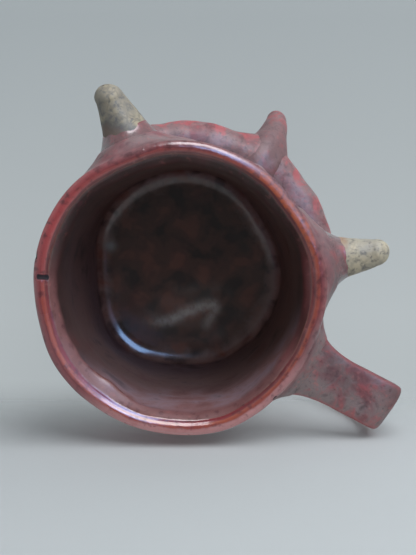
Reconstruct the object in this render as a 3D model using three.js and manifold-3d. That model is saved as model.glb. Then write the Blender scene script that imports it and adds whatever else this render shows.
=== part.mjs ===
// A hand-built stoneware mug with a horned face. It is modelled as the clay pieces that are formed apart and
// joined with slip: a wall ring on a base disc, a cove coil pressed into the corner between them, a strap
// handle, and the horns, horn collars, brows, eyes, nose and lips that are set on the wall.
// Millimetres, +Z up. The origin is the centre of the base's underside. The face looks along -Y.

import * as THREE from "three";
import { mergeVertices } from "three/addons/utils/BufferGeometryUtils.js";
import Module from "manifold-3d";

const wasm = await Module();
wasm.setup();

// The cup
const HEIGHT = 100; // base to lip
const RIM_RADIUS = 45; // outside, under the lip
const FOOT_RADIUS = 44; // outside, at the table
const WALL = 5; // thickness of the wall
const LIP_ROUND = 2.3; // radius of the lip's outer edge
const LIP_BEVEL = 2.2; // fall of the lip from its crest to its inner arris
const BASE_THICKNESS = 7;
const BASE_BEVEL = 1.6; // worn edge of the base
const COVE_RADIUS = 6; // hollow of the coil inside the corner
const COVE_EDGE = 0.8; // thickness left at the coil's two feather edges
const SLIP = 0.3; // slip layer between a piece and what it is set on

// The marks of the hands: lobes that push the wall in and out, most at the lip
const OVAL_SWELL = 0.3;
const FIVE_LOBE_SWELL = 0.4;
const NINE_LOBE_SWELL = 0.15;
const LOBES = [
  { count: 2, swell: OVAL_SWELL, turn: -10 },
  { count: 5, swell: FIVE_LOBE_SWELL, turn: 0 },
  { count: 9, swell: NINE_LOBE_SWELL, turn: 20 },
];
const LOBE_SHARE_AT_FOOT = 0.25;

// The handle
const HANDLE_TURN = 93; // degrees clockwise from the face to the handle's roots, seen from above
const HANDLE_LEAN = 1.6; // degrees that the outer bend leans back towards the face
const HANDLE_TWIST = 4; // degrees that the lower root sits further from the face than the upper one
const HANDLE_STAND = 35.5; // wall under the lip to the strap's outer face
const HANDLE_DROP = 10; // lip to the strap's middle at its upper root
const HANDLE_SPAN = 60; // upper root to lower root
const STRAP_WIDTH = 16.4;
const STRAP_THICKNESS = 5.6;
const ROOT_WIDTH = 27; // width where the strap flares into the wall
const ROOT_THICKNESS = 10;
const STRAP_SQUARENESS = 0.5; // 1 for an oval section, towards 0 for a square-edged one
const FLARE_LENGTH = 17; // length of strap that the flare takes

// The horns and the collars of clay round their roots
const LEFT_HORN_STAND = 22.6; // wall to the horn's tip
const LEFT_HORN_ROOT_RADIUS = 10.8;
const LEFT_HORN_TIP_RADIUS = 4.6;
const RIGHT_HORN_STAND = 21.8;
const RIGHT_HORN_ROOT_RADIUS = 9.6;
const RIGHT_HORN_TIP_RADIUS = 4.2;
const LEFT_HORN = {
  spread: 48.5, // degrees from the face's middle line to the root
  lean: 1.5, // degrees that the tip is set further out than the root
  stand: LEFT_HORN_STAND,
  rootRadius: LEFT_HORN_ROOT_RADIUS,
  tipRadius: LEFT_HORN_TIP_RADIUS,
};
const RIGHT_HORN = {
  spread: 51,
  lean: -0.4,
  stand: RIGHT_HORN_STAND,
  rootRadius: RIGHT_HORN_ROOT_RADIUS,
  tipRadius: RIGHT_HORN_TIP_RADIUS,
};
const HORN_DROP = 15; // lip to the middle of a horn's root
const HORN_BEND = 0.55; // where along its stand a horn bends up
const HORN_LIFT = 6; // rise of the tip above the root
const COLLAR_HEIGHT = 9; // wall to the collar's upper edge
const COLLAR_EDGE = 1.2; // thickness of the collar's upper edge
const COLLAR_FLARE = 5; // how much wider the collar is at the wall

// The nose
const NOSE_DROP = 8.5; // inner ends of the brows to the middle of the nose's root
const NOSE_STAND = 25.9; // wall to its tip
const NOSE_BEND = 0.5; // where along that stand the nose bends down
const NOSE_DROOP = 6; // fall of the tip below the root
const NOSE_TURN = 1.5; // degrees that the tip is set to the right of the face's middle line
const NOSE_LEAN = 4; // degrees that the root is set to the right of the tip
const NOSE_ROOT_HALF_WIDTH = 10.5;
const NOSE_ROOT_HALF_HEIGHT = 13;
const NOSE_TIP_RADIUS = 4.3;

// The brows, which rise from the nose towards the horns
const BROW_END = 48; // degrees from the face's middle line to a brow's outer end
const BROW_DROP = 14.5; // middle of the horns' roots to the brows' outer ends
const BROW_FALL = 5; // a brow's outer end to its inner end
const BROW_HALF_HEIGHT = 6.2;
const LEFT_BROW_STAND = 8.2; // how far the crest stands out of the wall
const RIGHT_BROW_STAND = 9;
const LEFT_BROW = {
  start: -4, // degrees from the face's middle line to the inner end, which meets the other over the nose
  stand: LEFT_BROW_STAND,
  innerShare: 1.3, // thickness of the ends as a share of the middle's
  outerShare: 0.95,
};
const RIGHT_BROW = { start: 6.5, stand: RIGHT_BROW_STAND, innerShare: 0.9, outerShare: 0.75 };

// The eyes
const EYE_SPREAD = 23; // degrees either side of the face
const EYE_DROP = 9.5; // inner ends of the brows to the eyes' middles
const EYE_RADIUS = 6.4;
const EYE_STAND = 4.4; // how far an eye stands out of the wall

// The mouth: two lip coils
const MOUTH_HALF_ANGLE = 27;
const MOUTH_DROP = 31; // middle of the nose's root to the parting line at its middle
const MOUTH_SMILE = 8; // rise of the corners above the middle
const LIP_HALF_HEIGHT = 2.7;
const LIP_STAND = 3.6; // how far a lip stands out of the wall
const LIP_PARTING = 1; // gap between the lips
const LIP_END_SHARE = 0.5; // thickness of a lip's ends as a share of its middle's

// Fineness of the facets
const CUP_SEGMENTS = 64;
const WALL_STEPS = 7;
const LIP_STEPS = 4;
const COVE_STEPS = 6;
const SEAT_STEPS = 16;
const OVAL_SIDES = 16;
const TAPER_STEPS = 8;
const TIP_STEPS = 5;
const COLLAR_STEPS = 7;
const COIL_STEPS = 14;
const COIL_END_STEPS = 3;
const HANDLE_STEPS = 40;
const EYE_SEGMENTS = 18;
const EYE_RINGS = 12;

// Depth that a piece is carried into the wall before the wall's own shape cuts its seat
const BED = 4;

// Thickness of a coil's blunt tip as a share of its full one
const COIL_END_SHRINK = 0.15;

// The face hangs from the lip: each height follows from the one above it
const HORN_HEIGHT = HEIGHT - HORN_DROP;
const BROW_HIGH = HORN_HEIGHT - BROW_DROP;
const BROW_LOW = BROW_HIGH - BROW_FALL;
const NOSE_HEIGHT = BROW_LOW - NOSE_DROP;
const EYE_HEIGHT = BROW_LOW - EYE_DROP;
const MOUTH_HEIGHT = NOSE_HEIGHT - MOUTH_DROP;

const FACE_ANGLE = -90;
const HANDLE_ANGLE = FACE_ANGLE - HANDLE_TURN;
const SIDES = [
  { label: "left", side: 1, horn: LEFT_HORN, brow: LEFT_BROW },
  { label: "right", side: -1, horn: RIGHT_HORN, brow: RIGHT_BROW },
];
const UP = new THREE.Vector3(0, 0, 1);

const radians = THREE.MathUtils.degToRad;
const lerp = THREE.MathUtils.lerp;

// Glazes and clays
const redGlaze = new THREE.MeshStandardMaterial({ color: 0x7a3a40, roughness: 0.25 });
const darkGlaze = new THREE.MeshStandardMaterial({ color: 0x2a1c1a, roughness: 0.2 });
const boneGlaze = new THREE.MeshStandardMaterial({ color: 0xb3ab92, roughness: 0.45 });

// Unit vectors at an angle round the cup, in degrees from +X
function outward(angle) {
  return new THREE.Vector3(Math.cos(radians(angle)), Math.sin(radians(angle)), 0);
}

function sideways(angle) {
  return outward(angle + 90);
}

// The cup's outer radius before the hands' marks: it widens quickly above the foot and is upright at the lip
function plainRadius(z) {
  const share = THREE.MathUtils.clamp(z / HEIGHT, 0, 1);
  return lerp(FOOT_RADIUS, RIM_RADIUS, Math.sin((share * Math.PI) / 2));
}

function handMark(angle, z) {
  const share = lerp(LOBE_SHARE_AT_FOOT, 1, THREE.MathUtils.clamp(z / HEIGHT, 0, 1));
  const swell = LOBES.reduce(
    (sum, lobe) => sum + lobe.swell * Math.cos(radians(lobe.count * (angle - lobe.turn))),
    0,
  );
  return share * swell;
}

// A point that stands a distance out of the wall, at an angle and a height
function onWall(angle, z, stand) {
  const radius = plainRadius(z) + handMark(angle, z) + stand;
  return outward(angle).multiplyScalar(radius).setZ(z);
}

// A lathe solid about +Z whose points are then pushed in and out by the hands' marks
function turned(profile) {
  const geometry = new THREE.LatheGeometry(profile, CUP_SEGMENTS).rotateX(Math.PI / 2);
  const position = geometry.getAttribute("position");
  for (let i = 0; i < position.count; i++) {
    const point = new THREE.Vector3().fromBufferAttribute(position, i);
    const radius = Math.hypot(point.x, point.y);
    const angle = THREE.MathUtils.radToDeg(Math.atan2(point.y, point.x));
    const stretch = 1 + handMark(angle, point.z) / plainRadius(point.z);
    if (radius > 0) position.setXYZ(i, point.x * stretch, point.y * stretch, point.z);
  }
  return geometry;
}

// Heights from a to b, both included
function heights(a, b, steps) {
  return Array.from({ length: steps + 1 }, (_, i) => lerp(a, b, i / steps));
}

// Closed solid through a row of oval sections, each with a centre and two half axes. A squareness under 1
// swells the ovals towards rectangles.
function loft(sections, squareness = 1) {
  const corners = [];
  const faces = [];
  const swollen = (value) => Math.sign(value) * Math.abs(value) ** squareness;
  for (const { centre, across, rise } of sections) {
    for (let i = 0; i < OVAL_SIDES; i++) {
      const turn = ((i + 0.5) / OVAL_SIDES) * 2 * Math.PI;
      const corner = centre.clone();
      corner.addScaledVector(across, swollen(Math.cos(turn)));
      corner.addScaledVector(rise, swollen(Math.sin(turn)));
      corners.push(corner);
    }
  }
  for (let ring = 0; ring < sections.length - 1; ring++) {
    for (let i = 0; i < OVAL_SIDES; i++) {
      const a = ring * OVAL_SIDES + i;
      const b = ring * OVAL_SIDES + ((i + 1) % OVAL_SIDES);
      faces.push(a, b, b + OVAL_SIDES, a, b + OVAL_SIDES, a + OVAL_SIDES);
    }
  }
  const first = corners.push(sections[0].centre) - 1;
  const last = corners.push(sections.at(-1).centre) - 1;
  const lastRing = (sections.length - 1) * OVAL_SIDES;
  for (let i = 0; i < OVAL_SIDES; i++) {
    const next = (i + 1) % OVAL_SIDES;
    faces.push(first, next, i, last, lastRing + i, lastRing + next);
  }
  return new THREE.BufferGeometry().setFromPoints(corners).setIndex(faces);
}

// Booleans, on closed geometries
function solidOf(geometry) {
  const plain = geometry.clone();
  plain.deleteAttribute("normal");
  plain.deleteAttribute("uv");
  const merged = mergeVertices(plain);
  const mesh = new wasm.Mesh({
    numProp: 3,
    vertProperties: merged.getAttribute("position").array,
    triVerts: new Uint32Array(merged.index.array),
  });
  return new wasm.Manifold(mesh);
}

function geometryOf(solid) {
  const mesh = solid.getMesh();
  const geometry = new THREE.BufferGeometry();
  geometry.setAttribute("position", new THREE.BufferAttribute(mesh.vertProperties, 3));
  geometry.setIndex(new THREE.BufferAttribute(mesh.triVerts, 1));
  geometry.computeVertexNormals();
  return geometry;
}

function cut(geometry, cutters) {
  const solid = cutters.reduce((left, cutter) => left.subtract(solidOf(cutter)), solidOf(geometry));
  return geometryOf(solid);
}

// The wall ring: up the outside, round the lip's outer edge, down its bevel and the inside
function wallGeometry() {
  const roundBase = HEIGHT - LIP_ROUND;
  const outside = heights(BASE_THICKNESS, roundBase, WALL_STEPS).map(
    (z) => new THREE.Vector2(plainRadius(z), z),
  );
  const crest = plainRadius(roundBase) - LIP_ROUND;
  const lip = heights(0, Math.PI / 2, LIP_STEPS).slice(1).map(
    (turn) => new THREE.Vector2(crest + LIP_ROUND * Math.cos(turn), roundBase + LIP_ROUND * Math.sin(turn)),
  );
  const inside = heights(HEIGHT - LIP_BEVEL, BASE_THICKNESS, WALL_STEPS).map(
    (z) => new THREE.Vector2(plainRadius(z) - WALL, z),
  );
  return turned([...outside, ...lip, ...inside, outside[0]]);
}

// The cup's outside as a plug with no hollow, larger by the slip layer: it cuts the seat of what stands on it
function wallCutter() {
  const outside = heights(-BED, HEIGHT + BED, SEAT_STEPS).map(
    (z) => new THREE.Vector2(plainRadius(z) + SLIP, z),
  );
  const profile = [new THREE.Vector2(0, -BED), ...outside, new THREE.Vector2(0, HEIGHT + BED)];
  return turned(profile);
}

// The base disc, with its lower edge worn to a bevel
function baseGeometry() {
  const profile = [
    new THREE.Vector2(0, 0),
    new THREE.Vector2(plainRadius(0) - BASE_BEVEL, 0),
    new THREE.Vector2(plainRadius(BASE_BEVEL), BASE_BEVEL),
    new THREE.Vector2(plainRadius(BASE_THICKNESS), BASE_THICKNESS),
    new THREE.Vector2(0, BASE_THICKNESS),
  ];
  return turned(profile);
}

// The coil that is pressed into the inside corner and wiped to a hollow quarter round
function coveGeometry() {
  const rise = BASE_THICKNESS + COVE_RADIUS;
  const reach = (z) => plainRadius(z) - WALL - SLIP;
  const top = reach(rise) - COVE_EDGE;
  const hollow = heights(0, Math.PI / 2, COVE_STEPS).map((turn) => {
    const x = top - COVE_RADIUS * (1 - Math.cos(turn));
    return new THREE.Vector2(x, rise + COVE_EDGE - COVE_RADIUS * Math.sin(turn));
  });
  const back = heights(BASE_THICKNESS, rise + COVE_EDGE, 3).map((z) => new THREE.Vector2(reach(z), z));
  const foot = new THREE.Vector2(hollow.at(-1).x, BASE_THICKNESS);
  return turned([...back, ...hollow, foot, back[0]]);
}

// A tapered horn or nose along a bent path, with a round end
function taperedSections(path, rootAcross, rootRise, tipRadius, angle, grow) {
  const length = path.getLength();
  const roundShare = tipRadius / length;
  const straight = heights(0, 1 - roundShare, TAPER_STEPS);
  const round = heights(0, Math.PI / 2, TIP_STEPS).slice(1, -1);
  const sectionAt = (share, shrink) => {
    const tangent = path.getTangentAt(share);
    const across = sideways(angle).negate();
    const rise = new THREE.Vector3().crossVectors(tangent, across).normalize();
    const taper = share / (1 - roundShare);
    const halfAcross = lerp(rootAcross, tipRadius, Math.min(taper, 1));
    const halfRise = lerp(rootRise, tipRadius, Math.min(taper, 1));
    return {
      centre: path.getPointAt(share),
      across: across.multiplyScalar(halfAcross * shrink + grow),
      rise: rise.multiplyScalar(halfRise * shrink + grow),
    };
  };
  return [
    ...straight.map((share) => sectionAt(share, 1)),
    ...round.map((turn) => sectionAt(1 - roundShare * (1 - Math.sin(turn)), Math.cos(turn))),
    sectionAt(1, 0.12),
  ];
}

function hornPath(side, { spread, lean, stand }) {
  const angle = FACE_ANGLE + side * spread;
  const root = onWall(angle, HORN_HEIGHT, -BED);
  const bend = onWall(angle, HORN_HEIGHT, stand * HORN_BEND);
  const tip = onWall(angle + side * lean, HORN_HEIGHT, stand).setZ(HORN_HEIGHT + HORN_LIFT);
  return new THREE.QuadraticBezierCurve3(root, bend, tip);
}

function hornGeometry(side, horn, grow) {
  const angle = FACE_ANGLE + side * horn.spread;
  const path = hornPath(side, horn);
  return loft(taperedSections(path, horn.rootRadius, horn.rootRadius, horn.tipRadius, angle, grow));
}

// The collar: a ring of clay that flares from the horn down to the wall
function collarGeometry(side, horn, grow) {
  const path = hornPath(side, horn);
  const length = path.getLength();
  const sections = heights(0, 1, COLLAR_STEPS).map((share) => {
    const walked = share * (COLLAR_HEIGHT + BED);
    const along = walked / length;
    const tangent = path.getTangentAt(along);
    const across = sideways(FACE_ANGLE + side * horn.spread).negate();
    const rise = new THREE.Vector3().crossVectors(tangent, across).normalize();
    const hornRadius = lerp(horn.rootRadius, horn.tipRadius, walked / (length - horn.tipRadius));
    const radius = hornRadius + COLLAR_EDGE + COLLAR_FLARE * (1 - share) ** 2 + grow;
    return {
      centre: path.getPointAt(along),
      across: across.multiplyScalar(radius),
      rise: rise.multiplyScalar(radius),
    };
  });
  return loft(sections);
}

function noseGeometry(grow) {
  const tipAngle = FACE_ANGLE - NOSE_TURN;
  const rootAngle = tipAngle - NOSE_LEAN;
  const root = onWall(rootAngle, NOSE_HEIGHT, -BED);
  const bend = onWall(rootAngle, NOSE_HEIGHT, NOSE_STAND * NOSE_BEND);
  const tip = onWall(tipAngle, NOSE_HEIGHT - NOSE_DROOP, NOSE_STAND);
  const path = new THREE.QuadraticBezierCurve3(root, bend, tip);
  return loft(
    taperedSections(path, NOSE_ROOT_HALF_WIDTH, NOSE_ROOT_HALF_HEIGHT, NOSE_TIP_RADIUS, tipAngle, grow),
  );
}

// A coil with round ends, laid round the wall between two angles. swell gives its thickness at each share of
// its length.
function coilOnWall(fromAngle, toAngle, heightAt, stand, halfHeight, swell) {
  const halfDepth = (stand + BED) / 2;
  const length = radians(Math.abs(toAngle - fromAngle)) * RIM_RADIUS;
  const endShare = (end) => (swell(end) * halfHeight) / length;
  const turns = heights(0, Math.PI / 2, COIL_END_STEPS).slice(0, -1);
  const stations = [
    ...turns.map((turn) => ({ share: endShare(0) * (1 - Math.cos(turn)), shrink: Math.sin(turn) })),
    ...heights(endShare(0), 1 - endShare(1), COIL_STEPS).map((share) => ({ share, shrink: 1 })),
    ...turns.map((turn) => ({ share: 1 - endShare(1) * (1 - Math.cos(turn)), shrink: Math.sin(turn) })).reverse(),
  ];
  const sections = stations.map(({ share, shrink }) => {
    const angle = lerp(fromAngle, toAngle, share);
    const thickness = swell(share) * Math.max(shrink, COIL_END_SHRINK);
    return {
      centre: onWall(angle, heightAt(share), swell(share) * halfDepth - BED / 2),
      across: outward(angle).multiplyScalar(thickness * halfDepth),
      rise: UP.clone().multiplyScalar(thickness * halfHeight),
    };
  });
  return loft(toAngle > fromAngle ? sections.reverse() : sections);
}

function browGeometry(side, { start, stand, innerShare, outerShare }) {
  const from = FACE_ANGLE + side * start;
  const to = FACE_ANGLE + side * BROW_END;
  const endShare = (share) => (share < 0.5 ? innerShare : outerShare);
  const swell = (share) => lerp(endShare(share), 1, Math.sin(Math.PI * share));
  const heightAt = (share) => lerp(BROW_LOW, BROW_HIGH, share);
  return coilOnWall(from, to, heightAt, stand, BROW_HALF_HEIGHT, swell);
}

function eyeGeometry(side, grow) {
  const centre = onWall(FACE_ANGLE + side * EYE_SPREAD, EYE_HEIGHT, EYE_STAND - EYE_RADIUS);
  const ball = new THREE.SphereGeometry(EYE_RADIUS + grow, EYE_SEGMENTS, EYE_RINGS);
  return ball.rotateX(Math.PI / 2).translate(centre.x, centre.y, centre.z);
}

// A lip above (+1) or below (-1) the parting line of the mouth
function lipGeometry(place) {
  const swell = (share) => lerp(LIP_END_SHARE, 1, Math.sin(Math.PI * share));
  const offset = place * (LIP_HALF_HEIGHT + LIP_PARTING / 2);
  const heightAt = (share) => MOUTH_HEIGHT + MOUTH_SMILE * (2 * share - 1) ** 2 + offset;
  const from = FACE_ANGLE - MOUTH_HALF_ANGLE;
  const to = FACE_ANGLE + MOUTH_HALF_ANGLE;
  return coilOnWall(from, to, heightAt, LIP_STAND, LIP_HALF_HEIGHT, swell);
}

// The handle's middle line: out of the wall under the lip, round the bend, down and back into the wall
function handlePath() {
  const top = HEIGHT - HANDLE_DROP;
  const stand = HANDLE_STAND - STRAP_THICKNESS / 2;
  const at = (share, fall) => {
    const angle = HANDLE_ANGLE + share * HANDLE_LEAN - fall * HANDLE_TWIST;
    return outward(angle).multiplyScalar(RIM_RADIUS + share * stand).setZ(top - fall * HANDLE_SPAN);
  };
  return new THREE.CatmullRomCurve3([
    onWall(HANDLE_ANGLE, top, -BED),
    at(0.3, -0.01),
    at(0.65, 0),
    at(0.94, 0.01),
    at(1, 0.1),
    at(0.98, 0.36),
    at(0.74, 0.7),
    at(0.33, 0.93),
    onWall(HANDLE_ANGLE - HANDLE_TWIST, top - HANDLE_SPAN, -BED),
  ]);
}

function handleGeometry() {
  const path = handlePath();
  const length = path.getLength();
  const sections = heights(0, 1, HANDLE_STEPS).map((share) => {
    const toRoot = Math.min(share, 1 - share) * length;
    const flare = Math.max(0, 1 - toRoot / (FLARE_LENGTH + BED)) ** 2;
    const tangent = path.getTangentAt(share);
    const across = sideways(HANDLE_ANGLE);
    const rise = new THREE.Vector3().crossVectors(tangent, across).normalize();
    return {
      centre: path.getPointAt(share),
      across: across.multiplyScalar(lerp(STRAP_WIDTH, ROOT_WIDTH, flare) / 2),
      rise: rise.multiplyScalar(lerp(STRAP_THICKNESS, ROOT_THICKNESS, flare) / 2),
    };
  });
  return loft(sections, STRAP_SQUARENESS);
}

const mug = new THREE.Group();

function add(name, geometry, material) {
  const mesh = new THREE.Mesh(geometry, material);
  mesh.name = name;
  mug.add(mesh);
}

const wallSeat = wallCutter();
add("cup_wall", wallGeometry(), redGlaze);
add("base_disc", baseGeometry(), redGlaze);
add("floor_cove_coil", coveGeometry(), darkGlaze);
add("handle_strap", cut(handleGeometry(), [wallSeat]), redGlaze);
const noseSeat = noseGeometry(SLIP);
const eyeSeats = SIDES.map(({ side }) => eyeGeometry(side, SLIP));
add("nose", cut(noseGeometry(0), [wallSeat, ...eyeSeats]), redGlaze);
for (const { label, side, horn, brow } of SIDES) {
  const hornSeat = hornGeometry(side, horn, SLIP);
  const collarSeat = collarGeometry(side, horn, SLIP);
  const browSeats = [wallSeat, collarSeat, noseSeat, ...eyeSeats];
  add(`${label}_horn`, cut(hornGeometry(side, horn, 0), [wallSeat]), boneGlaze);
  add(`${label}_horn_collar`, cut(collarGeometry(side, horn, 0), [wallSeat, hornSeat]), redGlaze);
  add(`${label}_eye`, cut(eyeGeometry(side, 0), [wallSeat]), boneGlaze);
  add(`${label}_brow`, cut(browGeometry(side, brow), browSeats), redGlaze);
}
add("upper_lip", cut(lipGeometry(1), [wallSeat]), redGlaze);
add("lower_lip", cut(lipGeometry(-1), [wallSeat]), redGlaze);

export default mug;
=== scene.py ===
import dataclasses
import functools
import math

import bpy
import numpy as np
from mathutils import Matrix, Vector, noise


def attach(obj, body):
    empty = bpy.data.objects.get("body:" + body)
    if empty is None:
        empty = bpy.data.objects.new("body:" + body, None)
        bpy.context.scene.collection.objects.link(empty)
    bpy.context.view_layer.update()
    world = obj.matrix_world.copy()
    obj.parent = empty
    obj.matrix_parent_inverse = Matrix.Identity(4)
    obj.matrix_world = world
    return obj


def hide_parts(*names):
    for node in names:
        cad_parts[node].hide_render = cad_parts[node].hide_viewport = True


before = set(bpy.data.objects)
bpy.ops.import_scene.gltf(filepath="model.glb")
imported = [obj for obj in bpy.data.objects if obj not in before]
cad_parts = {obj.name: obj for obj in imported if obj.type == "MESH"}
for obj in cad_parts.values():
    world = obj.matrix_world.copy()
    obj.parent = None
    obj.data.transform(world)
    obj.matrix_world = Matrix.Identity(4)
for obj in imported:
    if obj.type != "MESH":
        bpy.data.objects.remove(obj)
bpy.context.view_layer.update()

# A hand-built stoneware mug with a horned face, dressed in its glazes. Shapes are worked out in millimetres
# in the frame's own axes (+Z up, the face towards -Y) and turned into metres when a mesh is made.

MM = 0.001
UPWARD = np.array([0.0, 0.0, 1.0])
FACE_ANGLE = -90  # degrees about +Z

# The cup
HEIGHT = 100
RIM_RADIUS = 45
FOOT_RADIUS = 44
WALL = 5
LIP_ROUND = 1.7  # height of the lip's outer quarter oval
LIP_OUTER = 2.5  # its width, from the outside to the crest
# The lip from its crest inwards: distance along the skin and slope in degrees there
LIP_ROLL = [
    (0, 0), (0.5, 16), (0.9, 34), (1.5, 41), (1.9, 30), (2.3, 14), (2.7, 46), (3.2, 53), (4.5, 58),
    (5.5, 70), (7, 84), (9, 88),
]
LIP_BLEND = 40  # depth over which the rolled lip runs out into the lining
BASE_BEVEL = 1.6
FOOT_HOLLOW = 0.5
FLOOR_HEIGHT = 8
DISH_RADIUS = 12  # wide hollow that turns up from the floor
DISH_SLOPE = math.radians(32)  # at the dish's outer edge
BOWL_SLOPE = math.radians(4.6)  # at the dish's inner edge
BOWL_FLAT = 11  # radius of the level middle
CORNER_RADIUS = 2.2  # tight hollow from the dish to the wall
LINING_EASE = 2.2  # how much wider the inside is at the bottom than the wall's own taper
MIDDLE_GAP = 0.8  # radius of the fans that close the cup's two middles
BED = 4  # depth that a piece is carried into the wall it stands on
SEAT_DEPTH = 2.5  # deepest that any piece reaches into the wall

# Lobes round the wall: count, swell and turn
LOBES = [(2, 0.3, -10), (5, 0.4, 0), (9, 0.15, 20)]
LOBE_SHARE_AT_FOOT = 0.25

# Soft dents left by hands and unevenness of the glaze: size, swell and seed
FINGER_MARKS = [(24, 0.5, 1), (9, 0.16, 2)]
INNER_MARKS = [(20, 0.45, 3), (7, 0.12, 4)]
LIP_WOBBLES = [(16, 1, 5), (6, 0.5, 6)]
FLOOR_MARKS = [(17, 0.1, 7), (8, 0.04, 8)]
FIRE_STRAYS = [(13, 0.45, 9)]
PALE_AND_LIT_STRAYS = [(17, 0.2, 10)]
TAN_AND_LIT_STRAYS = [(15, 0.15, 12)]
HANDLE_MARKS = [(16, 0.35, 31), (6, 0.12, 32)]
NOSE_MARKS = [(8, 0.45, 33)]
COLLAR_MARKS = [(7, 0.5, 34), (3, 0.2, 35)]
BROW_MARKS = [(9, 0.7, 36), (4, 0.25, 37)]
LIP_MARKS = [(7, 0.35, 38)]
HORN_MARKS = [(8, 0.4, 39), (3, 0.12, 40)]
LIP_WOBBLE = 0.9  # how far the lip's inner edge strays
LIP_WAVE = 0.25  # how far its crest rises and falls
RIPPLE = 0.012  # finger spiral on the floor
RIPPLE_PITCH = 7.5

# Stretches round the cup: angle, spread in degrees and strength
FOOT_PUSHES = [(-50, 48, 1.6), (82, 24, 2.2), (-121, 26, -2.4), (31, 24, -2.8)]  # inside, at the floor
RIM_PUSHES = [(119, 30, 1.2)]
COOL_STRETCH = [(-36, 42, 0.9)]  # the lip's glaze fires to burgundy instead of rust
RUST_STRETCH = [(-108, 34, 0.8)]  # its crest is rust above all
ROSY_STRETCH = [(-2, 26, 1.0)]  # its crest is rose instead
DULL_STRETCHES = [(64, 26, 0.85), (-106, 27, 0.9)]  # its crest is dull
PALE_AND_LIT_STRETCH = [(128, 62, 1)]  # paler far down the inside, partly thin glaze and partly painted light on the inside's lit side
TAN_AND_LIT_STRETCH = [(98, 85, 1)]  # the lip's inner edge is tan, partly glaze and partly painted light on its lit side
SLIM_STRETCH = [(-60, 70, 1)]  # the lip's bands are narrowest, so the lining's dark tones reach onto the inner roll as painted shade

# Small things on the cup
LIP_DRIP = (83, 20, 6.4, 1.4, 1.1)  # angle, spread in degrees, distance along the profile, half width, swell
# A painted reflection: a thin pale line in the floor's colour, standing in for a highlight; angles and
# places from the axis, and its half width
FLOOR_REFLECTION_STREAK = [(82, 29), (97, 24.6), (117, 19.3), (157, 20), (138, 26.5)]
REFLECTION_STREAK_WIDTH = 2.2
LINING_PAINTED_GLINT = (12, 34.5, 2.2)  # a painted reflection, a pale spot on the dish: angle, place from the axis, radius
# Marks on the lip: angle, half width, start and end along the lip's profile, depth
LIP_NICKS = [(24.0, 0.85, -1.0, 2.3, 0.35), (16.3, 0.7, -3.6, -2.4, 0.3), (160.3, 0.8, -3.6, -2.4, 0.3)]

# The handle
HANDLE_ANGLE = FACE_ANGLE - 93
HANDLE_LEAN = 1.6
HANDLE_TWIST = 4
HANDLE_STAND = 35.5
HANDLE_DROP = 10
HANDLE_SPAN = 60
HANDLE_KNOTS = [(0.3, -0.01), (0.65, 0), (0.94, 0.01), (1, 0.1), (0.98, 0.36), (0.74, 0.7), (0.33, 0.93)]
STRAP_WIDTH = 16.4
STRAP_THICKNESS = 5.6
ROOT_WIDTH = 27
ROOT_THICKNESS = 10
STRAP_SQUARENESS = 0.5
FLARE_LENGTH = 17

# The horns and their collars
SIDES = {"left": 1, "right": -1}
HORNS = {
    "left": {"angle": FACE_ANGLE + 48.5, "lean": 1.5, "stand": 22.6, "root": 10.8, "tip": 4.6},
    "right": {"angle": FACE_ANGLE - 51, "lean": 0.4, "stand": 21.8, "root": 9.6, "tip": 4.2},
}
HORN_HEIGHT = HEIGHT - 15
HORN_BEND = 0.55
HORN_LIFT = 6
COLLAR_HEIGHT = 9
COLLAR_THICKNESS = 1.6
COLLAR_EDGE = -0.15  # the collar's upper edge sinks into the horn
COLLAR_FLARE = 5
COLLAR_RISE = 10.8  # half height that a collar keeps under the lip
COLLAR_DUSK = [(HORNS["right"]["angle"], 26, 0.5)]  # dusky stretch of the wall round the right collar

# The nose
NOSE_HEIGHT = 57
NOSE_BRIDGE = 8  # rise of the nose's bend between the brows; its root rises half as far
NOSE_STAND = 24.4
NOSE_BEND = 0.5
NOSE_DROOP = 6
NOSE_TIP_ANGLE = FACE_ANGLE - 0.9
NOSE_ROOT_ANGLE = NOSE_TIP_ANGLE - 4
NOSE_ROOT_HALF_WIDTH = 8.6
NOSE_ROOT_HALF_HEIGHT = 16
NOSE_TIP_RADIUS = 3.8

# Brows, eyes and mouth
BROWS = {
    "left": {"start": -8, "stand": 8.2, "inner": 1.02, "outer": 0.95, "dusk": 0.1},
    "right": {"start": 4, "stand": 9, "inner": 0.9, "outer": 0.75, "dusk": 0.25},
}
BROW_END = 48
BROW_LOW = 65.5
BROW_HIGH = 70.5
BROW_HALF_HEIGHT = 6.2
EYE_SPREAD = 23
EYE_HEIGHT = 56
EYE_RADIUS = 6.4
EYE_STAND = 4.4
EYE_CONVERGE = 9  # degrees that the eyes turn towards the face's middle
IRIS_RADIUS = 3.1
PUPIL_RADIUS = 1.5
MOUTH_HALF_ANGLE = 27
MOUTH_HEIGHT = 26
MOUTH_SMILE = 8
LIP_HALF_HEIGHT = 2.7
LIP_STAND = 3.6
LIP_PARTING = 1
LIP_END_SHARE = 0.5

# Radii of the smoothed slip joints
HANDLE_JOINT = 8
COLLAR_JOINT = 8
NOSE_JOINT = 7
BROW_JOINT = 6
LIP_JOINT = 3
EYE_JOINT = 1.6
FACE_JOINT = 10  # between neighbouring pieces of the face
JOINT_ROUNDS = 9  # rounds of the search for a joint's skin
JOINT_STRIDE = 0.7  # share of the gap that a round closes
JOINT_RISE = 0.55  # most that the wall rises, as a share of the radius
JOINT_MARGIN = 1.5  # how far round a piece the wall may rise, in radii

# Fineness of the meshes
CUP_COLUMNS = 392
NICK_COLUMNS = 24
NICK_REACH = 3.0  # degrees either side of the first nick that get the extra columns
HANDLE_SIDES = 72
OVAL_SIDES = 56
COIL_SIDES = 40

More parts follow.
